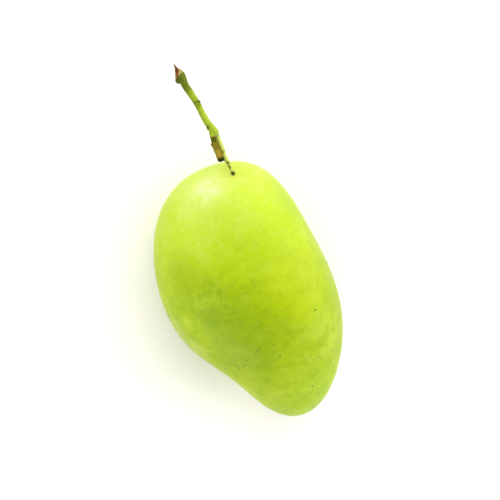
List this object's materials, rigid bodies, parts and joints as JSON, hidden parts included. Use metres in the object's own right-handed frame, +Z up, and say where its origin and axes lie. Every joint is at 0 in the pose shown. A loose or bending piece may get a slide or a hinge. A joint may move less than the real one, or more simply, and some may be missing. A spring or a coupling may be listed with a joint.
{
  "type": "mango",
  "caption": "Raw green mango with a broad stalk end, flattened cheeks and a drawn-out nose, picked with a length of its forked stalk and lying on a small flat spot of its cheek.",
  "frame": {"origin": "middle of the small flat spot on the lower cheek, on the surface that the fruit lies on, under its centre of mass", "axes": "+Z up from that surface, +Y along the fruit towards the stalk, +X across its broad side towards its fuller back"},
  "size_m": [0.0769, 0.1752, 0.0667],
  "materials": {
    "skin": "smooth waxy yellow-green skin, paler at the stalk end, with fine pale dots and a few dark specks",
    "green_stalk": "young green bark, satin, darker at its rings and scars, pale straw where it is torn",
    "dry_wood": "dried brown bark, wrinkled lengthwise, near black on its cut end",
    "dry_scale": "dry papery red-brown scale, greyish at its tip"
  },
  "bodies": {
    "root": {"fruit": "skin", "stem": "green_stalk", "dried_stub": "dry_wood", "dried_scale": "dry_scale"}
  },
  "joints": []
}
